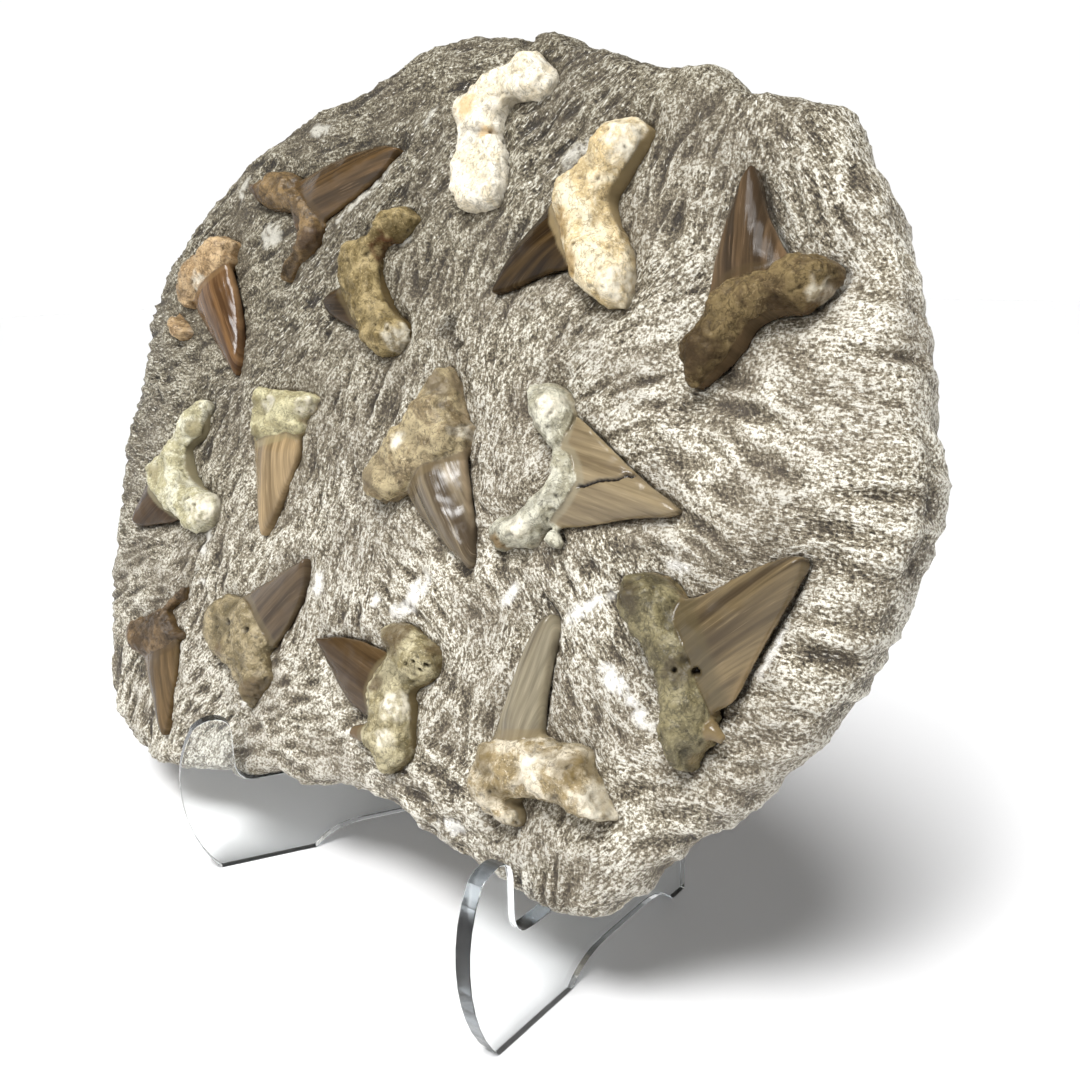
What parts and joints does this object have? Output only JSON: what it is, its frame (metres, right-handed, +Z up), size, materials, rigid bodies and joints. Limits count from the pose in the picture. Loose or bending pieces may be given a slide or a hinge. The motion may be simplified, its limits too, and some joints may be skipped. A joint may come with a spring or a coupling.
{
  "type": "fossil shark teeth in matrix on a two-piece stand",
  "caption": "Thick rough slab of sandy fossil matrix with shark teeth set in its face, leaning back on a pair of clear acrylic stand plates.",
  "frame": {"origin": "middle of the whole object's box, on the surface it stands on", "axes": "+X along the slab to the right as seen from the front, +Y away from the viewer, +Z up"},
  "size_m": [0.2788, 0.1048, 0.2222],
  "materials": {
    "matrix": "rough sandy phosphate rock",
    "tooth": "glossy brown enamel crown and porous cream root",
    "acrylic": "clear polished acrylic"
  },
  "bodies": {
    "root": {"matrix_slab": "matrix", "tooth_01": "tooth", "tooth_02": "tooth", "tooth_03": "tooth", "tooth_04": "tooth", "tooth_05": "tooth", "tooth_06": "tooth", "tooth_07": "tooth", "tooth_08": "tooth", "tooth_09": "tooth", "tooth_10": "tooth", "tooth_11": "tooth", "tooth_12": "tooth", "tooth_13": "tooth", "tooth_14": "tooth", "tooth_15": "tooth", "stand_left": "acrylic", "stand_right": "acrylic"}
  },
  "joints": []
}
